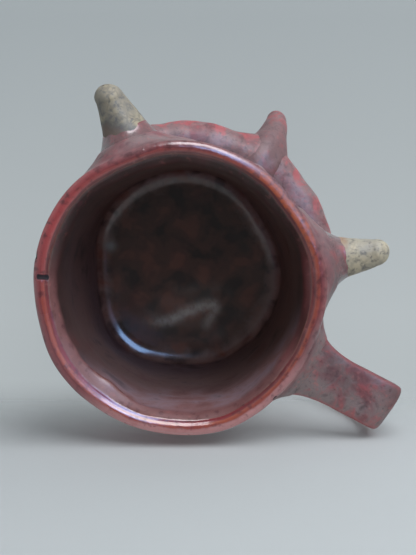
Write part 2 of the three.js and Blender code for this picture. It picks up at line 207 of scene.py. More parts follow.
# The picture that the camera follows: its size, focal length, and where the mug's axis and lip fall in it
PICTURE_WIDTH = 416
PICTURE_HEIGHT = 555
FOCAL_PIXELS = 700
VANISHING_POINT = (203, 222)
RIM_PIXEL = (179.5, 289.8)
RIM_PIXEL_RADIUS = 147.5
FACE_IN_PICTURE = 60.7  # degrees from the picture's right to the face
PICTURE_TURN = Matrix.Rotation(-math.radians(FACE_IN_PICTURE + 90), 3, "Z")
SENSOR = 36

# Lights: name, direction in the picture, distance, size, power, tint, seen by diffuse and by glossy surfaces
LIGHTS = [
    ("key", (0.42, 0.8, 0.42), 0.6, (0.6, 0.55), 3.1, (1.0, 0.97, 0.98), True, False),
    ("day_glint", (0.2, 0.81, 0.55), 0.6, (0.4, 0.32), 3.2, (0.98, 0.96, 1.0), False, True),
    ("window", (0.362, 0.47, 0.805), 0.6, (0.28, 0.34), 3.0, (0.3, 0.56, 1.0), False, True),
    ("window_glow", (0.43, 0.4, 0.805), 0.62, (0.46, 0.4), 0.4, (0.55, 0.5, 1.0), False, True),
    ("front", (0.05, 0.18, 0.98), 0.8, (0.6, 0.6), 0.8, (1.0, 0.97, 0.95), True, False),
    ("fill", (-0.2, -0.9, 0.12), 0.7, (0.5, 0.4), 1.1, (1.0, 0.98, 0.96), True, True),
]

# The stage, in metres and screen colours
PALE_FLOOR = (188, 197, 200)
PALE_TABLE = (193, 201, 204)
PALE_NEAR = (192, 200, 203)  # the floor's painted glow low and high in the picture, darker higher up
PALE_FAR = (162, 171, 175)
FLOOR_GLOW = 0.66  # share of painted glow in the floor that the camera sees
FLOOR_LEVEL = -0.0002
FLOOR_HALF = 1.6
FLOOR_FADE = (0.5, 1.4)  # distances between which it fades out
TABLE_DROP = 49.6  # mm from the mug's axis to the table that it leans on in the picture
TABLE_RISE = (0.0, 0.1)  # heights between which the panel that stands for that table comes in
TABLE_HALF_WIDTH = 0.6
TABLE_REACH = 0.9
TABLE_FADE = (0.2, 0.42)
# The world's ambient light and backdrop: tone, the height where each starts to dim, strengths low and high
WORLD_GLOWS = [((250.46, 252.74, 255), 0.2, 0.5, 0.14), ((175, 184, 188), 0.4, 1.0, 0.3)]
WORLD_DIMMED = 0.9


# Small mathematics on arrays
def lerp(a, b, share):
    return a + (b - a) * share


def ease(low, high, value):
    share = np.clip((value - low) / (high - low), 0, 1)
    return share * share * (3 - 2 * share)


def dot(a, b):
    return np.sum(a * b, axis=-1)


def unit(vectors):
    return vectors / np.linalg.norm(vectors, axis=-1, keepdims=True)


def outward(angle):
    turn = np.radians(np.asarray(angle, float))
    return np.stack([np.cos(turn), np.sin(turn), np.zeros_like(turn)], axis=-1)


def bell(value, middle, width):
    return np.exp(-(((value - middle) / width) ** 2))


def off_angle(angle, place):
    return (angle - place + 180) % 360 - 180


def stretch(angle, kinds):
    """Strength of stretches round the cup at angles."""
    return sum(strength * bell(off_angle(angle, place), 0, spread) for place, spread, strength in kinds)


def marks(points, kinds):
    """Soft random swellings of a few sizes."""
    total = 0
    for size, swell, seed in kinds:
        shift = Vector((17.3 * seed, -9.1 * seed, 5.7 * seed))
        lumps = np.array([noise.noise(Vector(point) / size + shift) for point in points])
        total = total + swell * lumps
    return total


# The wall that everything stands on
def plain_radius(z):
    share = np.clip(np.asarray(z, float) / HEIGHT, 0, 1)
    return lerp(FOOT_RADIUS, RIM_RADIUS, np.sin(share * math.pi / 2))


def lobe_swell(angle, z):
    share = lerp(LOBE_SHARE_AT_FOOT, 1, np.clip(np.asarray(z, float) / HEIGHT, 0, 1))
    return share * sum(swell * np.cos(np.radians(count * (angle - turn))) for count, swell, turn in LOBES)


def on_wall(angle, z, stand):
    radius = plain_radius(z) + lobe_swell(angle, z) + stand
    point = outward(angle) * np.asarray(radius)[..., None]
    point[..., 2] = z
    return point


def wall_distance(points):
    """How far points stand out of the wall, finger marks included."""
    angle = np.degrees(np.arctan2(points[:, 1], points[:, 0]))
    z = np.clip(points[:, 2], 0, HEIGHT)
    radius = plain_radius(z) + lobe_swell(angle, z) + marks(on_wall(angle, z, 0), FINGER_MARKS)
    return np.hypot(points[:, 0], points[:, 1]) - radius


def seat(points):
    """Flattens what lies deep in the wall, so that no piece shows inside the cup."""
    deep = np.minimum(wall_distance(points) + SEAT_DEPTH, 0)
    return points - unit(points * (1 - UPWARD)) * deep[:, None]


class Path:
    """A curve sampled finely and read by the share of its length."""

    def __init__(self, points):
        self.points = points
        steps = np.linalg.norm(np.diff(points, axis=0), axis=1)
        self.walked = np.concatenate([[0], np.cumsum(steps)])
        self.length = self.walked[-1]

    def at(self, share):
        walked = np.asarray(share, float) * self.length
        return np.stack([np.interp(walked, self.walked, axis) for axis in self.points.T], axis=-1)

    def tangent(self, share):
        step = 0.004
        share = np.asarray(share, float)
        return unit(self.at(np.clip(share + step, 0, 1)) - self.at(np.clip(share - step, 0, 1)))


def bent_path(root, bend, tip):
    share = np.linspace(0, 1, 300)[:, None]
    return Path((1 - share) ** 2 * root + 2 * share * (1 - share) * bend + share**2 * tip)


def flowing_path(knots):
    """A centripetal Catmull-Rom curve through its knots."""
    knots = np.array(knots)
    knots = np.concatenate([[2 * knots[0] - knots[1]], knots, [2 * knots[-1] - knots[-2]]])
    share = np.linspace(0, 1, 60)[:, None]
    pieces = []
    for a, b, c, d in zip(knots, knots[1:], knots[2:], knots[3:]):
        before, along, after = (math.sqrt(np.linalg.norm(q - p)) for p, q in ((a, b), (b, c), (c, d)))
        leave = along * ((b - a) / before - (c - a) / (before + along) + (c - b) / along)
        arrive = along * ((c - b) / along - (d - b) / (along + after) + (d - c) / after)
        curve = b + leave * share
        curve = curve + (-3 * b + 3 * c - 2 * leave - arrive) * share**2
        curve = curve + (2 * b - 2 * c + leave + arrive) * share**3
        pieces.append(curve[:-1])
    pieces.append(knots[-2:-1])
    return Path(np.concatenate(pieces))


@dataclasses.dataclass
class Loft:
    """A closed skin through a row of oval sections, each with a centre and two half axes."""

    centres: np.ndarray
    across: np.ndarray
    rise: np.ndarray
    squareness: float = 1.0

    def rings(self, sides):
        turn = (np.arange(sides) + 0.5) / sides * 2 * math.pi
        waves = (np.cos(turn), np.sin(turn))
        cosine, sine = (np.sign(wave) * np.abs(wave) ** self.squareness for wave in waves)
        spread = self.across[:, None] * cosine[None, :, None] + self.rise[:, None] * sine[None, :, None]
        return self.centres[:, None] + spread

    def mesh(self, sides):
        """Points and faces of the skin, and the unit directions in which its points and two ends look."""
        rings = self.rings(sides)
        directions = unit(rings - self.centres[:, None]).reshape(-1, 3)
        start = unit(self.centres[0] - self.centres[1])
        end = unit(self.centres[-1] - self.centres[-2])
        return *skin_mesh(rings), np.concatenate([directions, [start], [end]])

    def distance(self, points):
        """About how far points are from the skin, negative inside it."""
        power = 2 / self.squareness
        wide = np.linalg.norm(self.across, axis=1)
        high = np.linalg.norm(self.rise, axis=1)
        across = self.across / wide[:, None]
        rise = self.rise / high[:, None]
        along = np.cross(across, rise)
        step = np.linalg.norm(np.diff(self.centres, axis=0), axis=1).max()
        to_point = points[:, None] - self.centres[None]
        x, y, off = (dot(to_point, axis[None]) for axis in (across, rise, along))
        off = np.abs(off)
        size = (np.abs(x / wide) ** power + np.abs(y / high) ** power) ** (1 / power)
        skin = np.hypot(x, y) * (1 - 1 / np.maximum(size, 1e-3))
        skin = np.maximum(skin, -np.minimum(wide, high))
        inside = np.where(off <= step, np.minimum(skin, 0), 0)
        return np.min(np.hypot(np.maximum(skin, 0), np.maximum(off - step, 0)) + inside, axis=1)


def skin_mesh(rings):
    """Points and faces of a closed skin through rings, with a fan at each end."""
    count, sides = rings.shape[:2]
    points = np.concatenate([rings.reshape(-1, 3), [rings[0].mean(0)], [rings[-1].mean(0)]])
    first = count * sides
    last = first + 1
    side = np.arange(sides)
    following = (side + 1) % sides
    low = np.arange(count - 1)[:, None] * sides
    high = low + sides
    quads = np.stack([low + side, low + following, high + following, high + side], axis=-1)
    opening = np.stack([np.full(sides, first), following, side], axis=-1)
    closing = np.stack([np.full(sides, last), first - sides + side, first - sides + following], axis=-1)
    return points, quads.reshape(-1, 4).tolist() + opening.tolist() + closing.tolist()


# Slip joints: the wall rises to meet a piece, and the piece swells to meet what it stands on
def joint_swell(distance, reach):
    return np.clip(1 - distance / reach, 0, 1) ** 2 * reach / 4


def wall_rise(points, directions, joints):
    rise = np.zeros(len(points))
    for loft, reach in joints:
        corners = loft.rings(8).reshape(-1, 3)
        margin = JOINT_MARGIN * reach
        near = np.all((points > corners.min(0) - margin) & (points < corners.max(0) + margin), axis=1)
        start = points[near]
        heading = directions[near]
        lift = np.zeros(len(start))
        for _ in range(JOINT_ROUNDS):
            distance = loft.distance(start + heading * lift[:, None])
            overlap = np.clip(1 - np.abs(distance - lift) / reach, 0, None)
            gap = np.minimum(distance, lift) - overlap**2 * reach / 4
            lift = np.clip(lift - JOINT_STRIDE * gap, 0, JOINT_RISE * reach)
        rise[near] = np.maximum(rise[near], lift)
    return rise


# Pieces as Blender objects
def read(owner, name, count, kind=float):
    numbers = np.empty(count, kind)
    owner.foreach_get(name, numbers)
    return numbers


def crown_of(mesh):
    """Mean bend of the skin at each point, per millimetre: positive on edges, negative in hollows."""
    count = len(mesh.vertices)
    points = read(mesh.vertices, "co", 3 * count).reshape(-1, 3) / MM
    normals = read(mesh.vertex_normals, "vector", 3 * count).reshape(-1, 3)
    a, b = read(mesh.edges, "vertices", 2 * len(mesh.edges), np.int32).reshape(-1, 2).T
    span = points[b] - points[a]
    bend = dot(normals[b] - normals[a], span) / np.maximum(dot(span, span), 1e-6)
    tally = np.bincount(a, minlength=count) + np.bincount(b, minlength=count)
    crown = (np.bincount(a, bend, count) + np.bincount(b, bend, count)) / tally
    for _ in range(2):
        around = (np.bincount(a, crown[b], count) + np.bincount(b, crown[a], count)) / tally
        crown = (crown + around) / 2
    return crown


def signed_volume(mesh, points):
    mesh.calc_loop_triangles()
    corners = read(mesh.loop_triangles, "vertices", 3 * len(mesh.loop_triangles), np.int32)
    first, second, third = (points[corners[start::3]] for start in range(3))
    return np.sum(dot(first, np.cross(second, third))) / 6


def add_object(name, data):
    made = bpy.data.objects.new(name, data)
    bpy.context.scene.collection.objects.link(made)
    return made


def make_piece(name, points, faces, material, nodes, values):
    """A piece on the mug's one body, with values for its glaze at each point."""
    mesh = bpy.data.meshes.new(name)
    mesh.from_pydata((points * MM).tolist(), [], faces)
    if signed_volume(mesh, points) < 0:
        mesh.flip_normals()
    mesh.shade_smooth()
    mesh.materials.append(material)
    for key, numbers in {"crown": crown_of(mesh), **values}.items():
        attribute = mesh.attributes.new(key, "FLOAT", "POINT")
        attribute.data.foreach_set("value", np.asarray(numbers, np.float32))
    piece = add_object(name, mesh)
    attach(piece, "root")
    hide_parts(*nodes)


# Sections of the pieces that stand on the wall
def swept_loft(path, share, angle, half_across, half_rise, squareness=1.0):
    """Sections along a path that stands out at an angle, each level across."""
    across = np.tile(-outward(angle + 90), (len(share), 1))
    rise = unit(np.cross(path.tangent(share), across))
    return Loft(path.at(share), across * half_across[:, None], rise * half_rise[:, None], squareness)


def tapered_loft(path, angle, root_across, root_rise, tip_radius):
    """A taper along a bent path, with a round end."""
    round_share = tip_radius / path.length
    straight = np.linspace(0, 1 - round_share, 44)
    turn = np.linspace(0, math.pi / 2 - 0.06, 16)[1:]
    share = np.concatenate([straight, 1 - round_share * (1 - np.sin(turn))])
    shrink = np.concatenate([np.ones(len(straight)), np.cos(turn)])
    taper = np.minimum(share / (1 - round_share), 1)
    half_across = lerp(root_across, tip_radius, taper) * shrink
    half_rise = lerp(root_rise, tip_radius, taper) * shrink
    return swept_loft(path, share, angle, half_across, half_rise)


def horn_path(horn):
    root = on_wall(horn["angle"], HORN_HEIGHT, -BED)
    bend = on_wall(horn["angle"], HORN_HEIGHT, horn["stand"] * HORN_BEND)
    tip = on_wall(horn["angle"] + horn["lean"], HORN_HEIGHT, horn["stand"])
    return bent_path(root, bend, tip + HORN_LIFT * UPWARD)


def horn_loft(horn):
    return tapered_loft(horn_path(horn), horn["angle"], horn["root"], horn["root"], horn["tip"])


def collar_loft(horn):
    """A ring of clay that flares down to the wall, with a round upper edge that ends inside the horn."""
    path = horn_path(horn)
    share = np.linspace(0, 1, 30)
    turn = np.linspace(0, math.pi / 2, 9)[1:]
    walked = share * (COLLAR_HEIGHT + BED)
    over = walked[-1] + 0.5 * np.sin(turn)
    inner = lerp(horn["root"], horn["tip"], walked / (path.length - horn["tip"]))
    flare = inner + lerp(COLLAR_THICKNESS, COLLAR_EDGE, share) + COLLAR_FLARE * (1 - share) ** 2
    edge = inner[-1] - 1 + (COLLAR_EDGE + 1) * np.cos(turn)
    along = np.concatenate([walked, over]) / path.length
    radius = np.concatenate([flare, edge])
    return swept_loft(path, along, horn["angle"], radius, np.minimum(radius, COLLAR_RISE))


def nose_loft():
    root = on_wall(NOSE_ROOT_ANGLE, NOSE_HEIGHT + NOSE_BRIDGE / 2, -BED)
    bend = on_wall(NOSE_ROOT_ANGLE, NOSE_HEIGHT + NOSE_BRIDGE, NOSE_STAND * NOSE_BEND)
    tip = on_wall(NOSE_TIP_ANGLE, NOSE_HEIGHT - NOSE_DROOP, NOSE_STAND)
    path = bent_path(root, bend, tip)
    return tapered_loft(path, NOSE_TIP_ANGLE, NOSE_ROOT_HALF_WIDTH, NOSE_ROOT_HALF_HEIGHT, NOSE_TIP_RADIUS)


def coil_loft(from_angle, to_angle, height_at, stand, half_height, swell):
    """A coil laid round the wall between two angles, with round ends."""
    half_depth = (stand + BED) / 2
    length = math.radians(abs(to_angle - from_angle)) * RIM_RADIUS
    start, end = (swell(np.array(place)) * half_height / length for place in (0.0, 1.0))
    turn = np.linspace(0.1, math.pi / 2, 12)[:-1]
    body = np.linspace(start, 1 - end, 60)
    share = np.concatenate([start * (1 - np.cos(turn)), body, 1 - end * (1 - np.cos(turn[::-1]))])
    shrink = np.concatenate([np.sin(turn), np.ones(len(body)), np.sin(turn[::-1])])
    angle = lerp(from_angle, to_angle, share)
    thickness = swell(share)
    centre = on_wall(angle, height_at(share), thickness * half_depth - BED / 2)
    across = outward(angle) * (thickness * half_depth * shrink)[:, None]
    rise = UPWARD * (thickness * half_height * shrink)[:, None]
    return Loft(centre, across, rise)


def brow_loft(side, brow):
    return coil_loft(
        FACE_ANGLE + side * brow["start"],
        FACE_ANGLE + side * BROW_END,
        lambda share: lerp(BROW_LOW, BROW_HIGH, share),
        brow["stand"],
        BROW_HALF_HEIGHT,
        lambda share: lerp(np.where(share < 0.5, brow["inner"], brow["outer"]), 1, np.sin(math.pi * share)),
    )


def lip_loft(place):
    """A lip above (+1) or below (-1) the mouth's parting line."""
    offset = place * (LIP_HALF_HEIGHT + LIP_PARTING / 2)
    return coil_loft(
        FACE_ANGLE - MOUTH_HALF_ANGLE,
        FACE_ANGLE + MOUTH_HALF_ANGLE,
        lambda share: MOUTH_HEIGHT + MOUTH_SMILE * (2 * share - 1) ** 2 + offset,
        LIP_STAND,
        LIP_HALF_HEIGHT,
        lambda share: lerp(LIP_END_SHARE, 1, np.sin(math.pi * share)),
    )


def eye_loft(side):
    """An eye ball as a row of rings about its own looking direction, from the back to the front."""
    angle = FACE_ANGLE + side * EYE_SPREAD
    centre = on_wall(angle, EYE_HEIGHT, EYE_STAND - EYE_RADIUS)
    look_angle = angle - side * EYE_CONVERGE
    turn = np.linspace(-math.pi / 2 + 0.12, math.pi / 2 - 0.03, 60)
    ring = EYE_RADIUS * np.cos(turn)
    dent = 0.45 * bell(ring, IRIS_RADIUS, 0.5) + 0.9 * ease(PUPIL_RADIUS + 0.4, PUPIL_RADIUS - 0.5, ring)
    depth = EYE_RADIUS * np.sin(turn) - np.where(turn > 0, dent, 0)
    centres = centre + outward(look_angle) * depth[:, None]
    return Loft(centres, outward(look_angle + 90) * ring[:, None], UPWARD * ring[:, None])


def handle_loft():
    top = HEIGHT - HANDLE_DROP
    stand = HANDLE_STAND - STRAP_THICKNESS / 2
    knots = [on_wall(HANDLE_ANGLE, top, -BED)]
    for share, fall in HANDLE_KNOTS:
        angle = HANDLE_ANGLE + share * HANDLE_LEAN - fall * HANDLE_TWIST
        knots.append(outward(angle) * (RIM_RADIUS + share * stand) + UPWARD * (top - fall * HANDLE_SPAN))
    knots.append(on_wall(HANDLE_ANGLE - HANDLE_TWIST, top - HANDLE_SPAN, -BED))
    path = flowing_path(knots)
    share = np.linspace(0, 1, 150)
    to_root = np.minimum(share, 1 - share) * path.length
    flare = np.clip(1 - to_root / (FLARE_LENGTH + BED), 0, 1) ** 2
    half_width = lerp(STRAP_WIDTH, ROOT_WIDTH, flare) / 2
    half_thickness = lerp(STRAP_THICKNESS, ROOT_THICKNESS, flare) / 2
    return swept_loft(path, share, HANDLE_ANGLE + 180, half_width, half_thickness, STRAP_SQUARENESS)


def strap_tones(points):
    """A red edge along the strap's one side and a dark smear near its root."""
    side = points @ outward(HANDLE_ANGLE + 90) / (STRAP_WIDTH / 2)
    out = points @ outward(HANDLE_ANGLE) - RIM_RADIUS
    edge = ease(0.5, 0.95, side)
    smear = bell(out, 14, 7) * bell(side, 0.25, 0.4) * ease(60, 78, points[:, 2])
    return {"blush": lerp(-0.5, 1, edge), "dusk": 0.5 * edge + 0.6 * smear}


# The cup itself
def cup_profile():
    """Rows from the underside's middle, up the outside, over the lip and down to the floor's middle: the
    stretch that each is in, its radius, its height, and how far along it is from the lip's crest."""
    underside = np.linspace(MIDDLE_GAP, FOOT_RADIUS - BASE_BEVEL, 16)
    hollow = FOOT_HOLLOW * ease(FOOT_RADIUS - 6, FOOT_RADIUS - 10, underside)
    bevel_turn = np.linspace(0, math.pi / 2, 7)[1:]
    bevel_radius = FOOT_RADIUS - BASE_BEVEL + BASE_BEVEL * np.sin(bevel_turn)
    shoulder = HEIGHT - LIP_ROUND
    wall_z = np.linspace(BASE_BEVEL, shoulder, 108)[1:]
    crest = plain_radius(shoulder) - LIP_OUTER
    lip_turn = np.linspace(0, math.pi / 2, 12)[1:]
    walked = np.linspace(0, LIP_ROLL[-1][0], 46)
    lean = np.radians(np.interp(walked, *zip(*LIP_ROLL)))
    lean = (lean[1:] + lean[:-1]) / 2
    inner_edge = crest - np.cumsum(np.cos(lean) * np.diff(walked))
    lip_z = HEIGHT - np.cumsum(np.sin(lean) * np.diff(walked))
    dish_rise = FLOOR_HEIGHT + DISH_RADIUS * (math.cos(BOWL_SLOPE) - math.cos(DISH_SLOPE))
    rise = dish_rise + CORNER_RADIUS * math.cos(DISH_SLOPE)
    z = lerp(lip_z[-1], rise, np.linspace(0, 1, 50) ** 1.25)
    lining = plain_radius(z) - WALL + LINING_EASE * ease(HEIGHT / 2, rise, z)
    lining += (inner_edge[-1] - lining[0]) * ease(LIP_BLEND, 0, z[0] - z)
    corner_turn = np.linspace(math.pi / 2, DISH_SLOPE, 14)[1:]
    corner = lining[-1] - CORNER_RADIUS * (1 - np.sin(corner_turn))
    dish_turn = np.linspace(DISH_SLOPE, BOWL_SLOPE, 16)[1:]
    dish = corner[-1] - DISH_RADIUS * (math.sin(DISH_SLOPE) - np.sin(dish_turn))
    floor = np.linspace(dish[-1], MIDDLE_GAP, 44)[1:]
    wide = dish[-1] - BOWL_FLAT
    past = np.maximum(floor - BOWL_FLAT, 0)
    fall = math.tan(BOWL_SLOPE) * (wide**2 - past**2) / (2 * wide)
    stretches = [
        ("underside", underside, hollow),
        ("outside", bevel_radius, BASE_BEVEL * (1 - np.cos(bevel_turn))),
        ("outside", plain_radius(wall_z), wall_z),
        ("lip", crest + LIP_OUTER * np.cos(lip_turn), shoulder + LIP_ROUND * np.sin(lip_turn)),
        ("lip", inner_edge, lip_z),
        ("inside", lining[1:], z[1:]),
        ("inside", corner, rise - CORNER_RADIUS * np.cos(corner_turn)),
        ("floor", dish, FLOOR_HEIGHT + DISH_RADIUS * (math.cos(BOWL_SLOPE) - np.cos(dish_turn))),
        ("floor", floor, FLOOR_HEIGHT - fall),
    ]
    names = np.concatenate([[name] * len(radius) for name, radius, _ in stretches])
    radius, z = (np.concatenate([row[place] for row in stretches]) for place in (1, 2))
    walked = np.concatenate([[0], np.cumsum(np.hypot(np.diff(radius), np.diff(z)))])
    return names, radius, z, walked - walked[np.argmax(z)]


def nick_share(angle, run, nick):
    place, half_width, start, end, _ = nick
    offset = np.radians(off_angle(angle, place)) * RIM_RADIUS
    lengthwise = ease(start - 0.6, start, run) * ease(end + 0.8, end, run)
    return bell(offset, 0, half_width) * lengthwise


def painted_floor_reflection(points, floor_share):
    """Share of the painted reflection, a pale line on the floor, thinning out towards its ends."""
    trail = flowing_path([outward(place) * reach for place, reach in FLOOR_REFLECTION_STREAK]).points[::6]
    to_trail = np.linalg.norm(points[:, None, :2] - trail[None, :, :2], axis=2)
    strength = np.sin(math.pi * lerp(0.04, 0.9, to_trail.argmin(1) / len(trail)))
    return floor_share * bell(to_trail.min(1), 0, REFLECTION_STREAK_WIDTH) * strength


def cup_mesh(joints):
    """Points and faces of the cup, and the values that its glazes follow."""
    profile = cup_profile()
    names, _, _, profile_run = profile
    nick_angle = LIP_NICKS[0][0]
    plain = np.linspace(-180, 180, CUP_COLUMNS, endpoint=False)
    extra = np.linspace(nick_angle - NICK_REACH, nick_angle + NICK_REACH, NICK_COLUMNS)
    angles = np.unique(np.round(np.concatenate([plain, extra]), 4))
    rows, columns = len(names), len(angles)
    angle = np.tile(angles, rows)
    name, radius, z, run = (np.repeat(values, columns) for values in profile)
    away = outward(angle)
    is_floor = name == "floor"

    def round_rim(kinds):
        return np.tile(marks(outward(angles) * RIM_RADIUS, kinds), rows)

    # Shape: lobes, hand marks, pushes, the lip's stray edge, its drip, and the floor's unevenness
    wall_points = on_wall(angle, z, 0)
    inside_share = ease(-2, 5, run)
    by_hand = lerp(marks(wall_points, FINGER_MARKS), marks(wall_points, INNER_MARKS), inside_share)
    swell = lobe_swell(angle, z) * radius / plain_radius(z)
    swell += by_hand * np.minimum(radius / 30, 1)
    wobble = round_rim(LIP_WOBBLES)
    swell += LIP_WOBBLE * wobble * ease(1.5, 6, run) * ease(24, 9, run)
    swell += stretch(angle, FOOT_PUSHES) * ease(55, 20, z) * inside_share * ease(20, 34, radius)
    swell += stretch(angle, RIM_PUSHES) * ease(60, 98, z)
    drip_angle, drip_spread, drip_run, drip_width, drip_swell = LIP_DRIP
    drip = stretch(angle, [(drip_angle, drip_spread, 1)]) * bell(run, drip_run, drip_width)
    radius = radius + swell - drip_swell * drip
    points = away * radius[:, None]
    floor_share = np.where(is_floor, ease(38, 31, radius), 0)
    spiral = np.sin(2 * math.pi * (radius / RIPPLE_PITCH + angle / 360))
    z = z + floor_share * (RIPPLE * spiral * ease(1, 8, radius) + marks(points, FLOOR_MARKS))
    z = z + LIP_WAVE * wobble * bell(run, 0, 3)
    points[:, 2] = z

    # Slip joints, then the lip's nicks
    outside = np.flatnonzero((run < 0) & (name != "underside"))
    lift = wall_rise(points[outside], away[outside], joints)
    lift *= ease(HEIGHT - 0.4, HEIGHT - 3.5, z[outside])
    points[outside] += away[outside] * lift[:, None]
    nicked = np.zeros(len(points))
    lean = np.clip(-run / LIP_OUTER, 0, 1)[:, None]
    into_lip = unit(-away * lean - UPWARD * (1 - lean))
    for nick in LIP_NICKS:
        share = nick_share(angle, run, nick)
        points += into_lip * (share * nick[-1])[:, None]
        nicked = np.maximum(nicked, share)

    # Values for the glazes
    glint_angle, glint_place, glint_radius = LINING_PAINTED_GLINT
    to_glint = np.linalg.norm((points - outward(glint_angle) * glint_place)[:, :2], axis=1)
    rosy = stretch(angle, ROSY_STRETCH)
    slim = stretch(angle, SLIM_STRETCH)
    fire = 1 - stretch(angle, COOL_STRETCH) + round_rim(FIRE_STRAYS)
    foot = profile_run[names == "floor"][0]
    lip_shine = ease(-4.6, -2.2, run) * lerp(0.4, 1, ease(3.6, 2.4, run)) * ease(16, 8, run)
    lip_shine *= 1 - 0.85 * slim * ease(1.2, 2.2, run)
    lip_shine *= np.clip(1 - stretch(angle, DULL_STRETCHES), 0, 1)
    shine = np.maximum(np.maximum(lip_shine, 0.8 * drip), ease(foot - 3, foot + 1, run))
    values = {
        "run": run,
        # band squeezes the lip's tones where slim, so the dark lining tones reach onto the inner roll:
        # painted shade
        "band": run * (1 + 0.6 * slim * ease(0, 1, run)),
        "nick": nicked,
        "shine": shine * (1 - nicked),
        # painted reflection: a pale spot on the dish
        "fleck": np.where(is_floor, bell(to_glint, 0, glint_radius), 0),
        "fire": fire + stretch(angle, RUST_STRETCH) - rosy,
        "rosy": rosy,
        # paler lining and lip in one stretch: partly thin glaze, partly painted light on the lit side
        "pale": stretch(angle, PALE_AND_LIT_STRETCH) + round_rim(PALE_AND_LIT_STRAYS),
        # tan lip bands in one stretch: partly glaze, partly painted light on the lit side
        "tan": stretch(angle, TAN_AND_LIT_STRETCH) + round_rim(TAN_AND_LIT_STRAYS),
        # painted reflection on the floor
        "streak": painted_floor_reflection(points, floor_share),
        "dusk": stretch(angle, COLLAR_DUSK) * ease(55, 80, z) * (run < 0),
    }
    ends = {"run": [profile_run[0], profile_run[-1]], "shine": [0, 1]}
    values = {key: np.concatenate([row, ends.get(key, [0, 0])]) for key, row in values.items()}
    return *skin_mesh(points.reshape(rows, columns, 3)), values


# Materials
def colour(red, green, blue):
    """A screen colour, 0 to 255, as the linear colour that a shader takes."""
    shares = (value / 255 for value in (red, green, blue))
    linear = [share / 12.92 if share <= 0.04045 else ((share + 0.055) / 1.055) ** 2.4 for share in shares]
    return (*linear, 1.0)


class Shader:
    """The nodes of a material or world, made by short calls that return sockets. Colours are given as on a
    screen, 0 to 255."""

    def __init__(self, name, owners=bpy.data.materials, space="Object"):
        self.owner = owners.new(name)
        self.owner.use_nodes = True
        self.tree = self.owner.node_tree
        self.place = self.node("TexCoord")[space]

    def node(self, kind, inputs=(), **settings):
        """Outputs of a new node."""
        made = self.tree.nodes.new("ShaderNode" + kind)
        for key, value in settings.items():
            setattr(made, key, value)
        for key, value in dict(inputs).items():
            self.feed(made.inputs[key], value)
        return made.outputs

    def feed(self, socket, value):
        if isinstance(value, bpy.types.NodeSocket):
            self.tree.links.new(value, socket)
        else:
            socket.default_value = colour(*value) if socket.type == "RGBA" else value

    def mottle(self, size, detail, roughness, distortion, seed):
        """Noise from 0 to 1 whose patches are about a size in millimetres."""
        keys = ("Vector", "Scale", "Detail", "Roughness", "Distortion", "W")
        values = (self.place, 1 / (size * MM), detail, roughness, distortion, seed)
        return self.node("TexNoise", zip(keys, values), noise_dimensions="4D")["Fac"]

    def specks(self, spacing, radius, share, seed):
        """Small round spots, 1 in the middle of a spot and 0 outside, at about a share of the places."""
        shifted = self.vector("ADD", self.place, (seed, seed, seed))[0]
        cells = self.node("TexVoronoi", {"Vector": shifted, "Scale": 1 / (spacing * MM)})
        chosen = self.node("SeparateColor", {"Color": cells["Color"]})["Red"]
        size = self.times(radius / spacing, self.ramp(chosen, 1 - share, 1))
        size = self.math("MAXIMUM", size, 0.001)
        return self.math("SUBTRACT", 1, self.math("DIVIDE", cells["Distance"], size), use_clamp=True)

    def attributes(self, names):
        return [self.node("Attribute", attribute_name=name)["Fac"] for name in names.split()]

    def height(self):
        return self.node("SeparateXYZ", {"Vector": self.place})["Z"]

    def vector(self, operation, a, b=(0, 0, 0)):
        return self.node("VectorMath", {0: a, 1: b}, operation=operation)

    def math(self, operation, a, b, **settings):
        return self.node("Math", {0: a, 1: b}, operation=operation, **settings)[0]

    def times(self, *values):
        return functools.reduce(functools.partial(self.math, "MULTIPLY"), values)

    def strayed(self, value, mottle, spread):
        """Value moved up and down by a mottle, over a spread in all."""
        return self.math("ADD", value, self.times(self.math("SUBTRACT", mottle, 0.5), spread))

    def ramp(self, value, low, high, start=0.0, end=1.0, kind="SMOOTHSTEP"):
        """Value from low..high brought to start..end and held beyond."""
        inputs = {"Value": value, "From Min": low, "From Max": high, "To Min": start, "To Max": end}
        return self.node("MapRange", inputs, interpolation_type=kind)["Result"]

    def stops(self, value, low, high, tones):
        """Tones at places between low and high."""
        made = self.node("ValToRGB", {"Fac": self.ramp(value, low, high, kind="LINEAR")})["Color"]
        elements = made.node.color_ramp.elements
        elements.remove(elements[1])
        for order, (place, tone) in enumerate(tones):
            share = (place - low) / (high - low)
            element = elements.new(share) if order else elements[0]
            element.position = share
            element.color = colour(*tone)
        return made

    def blend(self, share, a, b):
        return self.node("Mix", {0: share, 2: a, 3: b})[0]

    def lay(self, base, tone, *shares):
        """A base with a tone laid over it by the product of shares."""
        inputs = {0: self.times(*shares), 6: base, 7: tone}
        return self.node("Mix", inputs, data_type="RGBA")[2]

    def layers(self, base, rows):
        """A base with tones laid over it in turn. A row is a tone, the value that guides it, the two values
        between which it comes in, its share when it is all in, and any further shares."""
        for tone, guide, low, high, most, *shares in rows:
            base = self.lay(base, tone, self.ramp(guide, low, high, 0, most), *shares)
        return base

    def finish(self, base, roughness, coat=0.0, coat_roughness=0.1, specular=0.5, height=None, relief=0.0):
        """Feeds the surface, with a relief in millimetres if a height is given, and returns it."""
        surface = self.tree.nodes["Principled BSDF"]
        keys = ("Base Color", "Roughness", "Coat Weight", "Coat Roughness", "Specular IOR Level")
        values = dict(zip(keys, (base, roughness, coat, coat_roughness, specular)))
        if height:
            inputs = {"Height": height, "Distance": relief * MM, "Strength": 1.0}
            values["Normal"] = self.node("Bump", inputs)["Normal"]
        for key, value in values.items():
            self.feed(surface.inputs[key], value)
        return surface.outputs[0]


